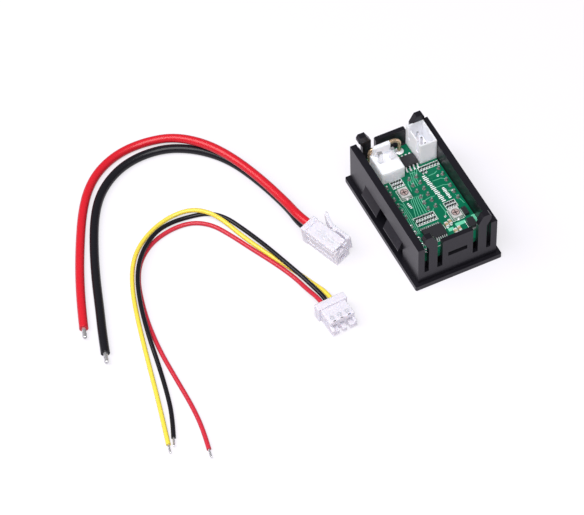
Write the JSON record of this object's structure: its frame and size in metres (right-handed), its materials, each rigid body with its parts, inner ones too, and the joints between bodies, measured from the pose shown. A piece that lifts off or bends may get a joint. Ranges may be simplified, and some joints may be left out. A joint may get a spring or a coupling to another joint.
{
  "type": "panel volt ammeter with leads",
  "caption": "Snap-in panel volt and ammeter lying face down, black case open at the rear on its green board, with a two-way and a three-way lead set unplugged beside it",
  "frame": {"origin": "centre of the bezel's front face, which lies on the surface at z = 0", "axes": "+X along the case, away from the end that holds the two headers; +Y across the case; +Z out of the open rear, up as the meter lies"},
  "size_m": [0.1178, 0.1256, 0.0215],
  "materials": {
    "case": "moulded black, fine grain",
    "window": "smoked clear, polished",
    "display_body": "black",
    "red_led": "diffused red bars",
    "blue_led": "diffused blue bars",
    "tin": "tinned",
    "connector": "moulded nylon, off white",
    "shunt_metal": "drawn wire",
    "board": "green solder mask",
    "chip": "black moulding",
    "trimmer_frame": "plated",
    "trimmer_rotor": "plated screw",
    "capacitor": "tan ceramic",
    "red_wire": "smooth red sleeve",
    "thin_red_wire": "smooth red sleeve",
    "black_wire": "smooth black sleeve",
    "yellow_wire": "smooth yellow sleeve"
  },
  "bodies": {
    "meter": {"housing": "case", "display_window": "window", "volts_display": "display_body", "volts_digits": "red_led", "volts_display_pins": "tin", "amps_display": "display_body", "amps_digits": "blue_led", "amps_display_pins": "tin", "sense_header": "connector", "sense_header_pins": "tin", "current_header": "connector", "current_header_pins": "tin", "shunt": "shunt_metal", "circuit_board": "board", "amplifier_leads": "tin", "amplifier_chip": "chip", "controller_leads": "tin", "controller_chip": "chip", "diode": "chip", "diode_tabs": "tin", "volts_trimmer": "trimmer_frame", "amps_trimmer": "trimmer_frame", "display_resistors": "chip", "sense_resistors": "chip", "divider_resistors": "chip", "supply_capacitors": "capacitor", "timing_part": "chip"},
    "panel_latch_header_end_left": {"panel_latch_header_end_left": "case"},
    "panel_latch_header_end_right": {"panel_latch_header_end_right": "case"},
    "panel_latch_plain_end_left": {"panel_latch_plain_end_left": "case"},
    "panel_latch_plain_end_right": {"panel_latch_plain_end_right": "case"},
    "board_clip_header_end_left": {"board_clip_header_end_left": "case"},
    "board_clip_header_end_right": {"board_clip_header_end_right": "case"},
    "board_clip_plain_end_left": {"board_clip_plain_end_left": "case"},
    "board_clip_plain_end_right": {"board_clip_plain_end_right": "case"},
    "volts_trimmer_screw": {"volts_trimmer_screw": "trimmer_rotor"},
    "amps_trimmer_screw": {"amps_trimmer_screw": "trimmer_rotor"},
    "current_lead_set": {"current_plug": "connector", "current_contacts": "tin", "current_lead_red": "red_wire", "current_lead_black": "black_wire", "current_lead_tips": "tin"},
    "current_plug_lever": {"current_plug_lever": "connector"},
    "sense_lead_set": {"sense_plug": "connector", "sense_contacts": "tin", "sense_lead_red": "thin_red_wire", "sense_lead_black": "black_wire", "sense_lead_yellow": "yellow_wire", "sense_lead_tips": "tin"}
  },
  "joints": [
    {"name": "panel_latch_header_end_left_flex", "type": "hinge", "parent": "meter", "child": "panel_latch_header_end_left", "pos_m": [-0.00725, -0.0117, 0.0099], "axis": [1, 0, 0], "range_deg": [0, 20], "stiffness_Nm_per_rad": 0.05},
    {"name": "panel_latch_header_end_right_flex", "type": "hinge", "parent": "meter", "child": "panel_latch_header_end_right", "pos_m": [-0.00725, 0.0117, 0.0099], "axis": [-1, 0, 0], "range_deg": [0, 20], "stiffness_Nm_per_rad": 0.05},
    {"name": "panel_latch_plain_end_left_flex", "type": "hinge", "parent": "meter", "child": "panel_latch_plain_end_left", "pos_m": [0.00725, -0.0117, 0.0099], "axis": [1, 0, 0], "range_deg": [0, 20], "stiffness_Nm_per_rad": 0.05},
    {"name": "panel_latch_plain_end_right_flex", "type": "hinge", "parent": "meter", "child": "panel_latch_plain_end_right", "pos_m": [0.00725, 0.0117, 0.0099], "axis": [-1, 0, 0], "range_deg": [0, 20], "stiffness_Nm_per_rad": 0.05},
    {"name": "board_clip_header_end_left_flex", "type": "hinge", "parent": "meter", "child": "board_clip_header_end_left", "pos_m": [-0.02275, -0.00822, 0.0061], "axis": [0, -1, 0], "range_deg": [0, 6], "stiffness_Nm_per_rad": 0.4},
    {"name": "board_clip_header_end_right_flex", "type": "hinge", "parent": "meter", "child": "board_clip_header_end_right", "pos_m": [-0.02275, 0.00822, 0.0061], "axis": [0, -1, 0], "range_deg": [0, 6], "stiffness_Nm_per_rad": 0.4},
    {"name": "board_clip_plain_end_left_flex", "type": "hinge", "parent": "meter", "child": "board_clip_plain_end_left", "pos_m": [0.02275, -0.00822, 0.0061], "axis": [0, 1, 0], "range_deg": [0, 6], "stiffness_Nm_per_rad": 0.4},
    {"name": "board_clip_plain_end_right_flex", "type": "hinge", "parent": "meter", "child": "board_clip_plain_end_right", "pos_m": [0.02275, 0.00822, 0.0061], "axis": [0, 1, 0], "range_deg": [0, 6], "stiffness_Nm_per_rad": 0.4},
    {"name": "volts_trimmer_screw_turn", "type": "hinge", "parent": "meter", "child": "volts_trimmer_screw", "pos_m": [-0.0033, -0.0046, 0.0114], "axis": [0, 0, 1], "range_deg": [-135, 135]},
    {"name": "amps_trimmer_screw_turn", "type": "hinge", "parent": "meter", "child": "amps_trimmer_screw", "pos_m": [0.0105, 0.00565, 0.0114], "axis": [0, 0, 1], "range_deg": [-135, 135]},
    {"name": "current_lead_set_lift", "type": "slide", "parent": "meter", "child": "current_lead_set", "axis": [0, 0, 1], "range_m": [0, 0.04]},
    {"name": "current_plug_lever_press", "type": "hinge", "parent": "current_lead_set", "child": "current_plug_lever", "pos_m": [-0.00328, -0.0289, 0.00512], "axis": [0.0476, -0.1308, 0.9903], "range_deg": [0, 8], "stiffness_Nm_per_rad": 0.1},
    {"name": "sense_lead_set_lift", "type": "slide", "parent": "meter", "child": "sense_lead_set", "axis": [0, 0, 1], "range_m": [0, 0.04]}
  ]
}
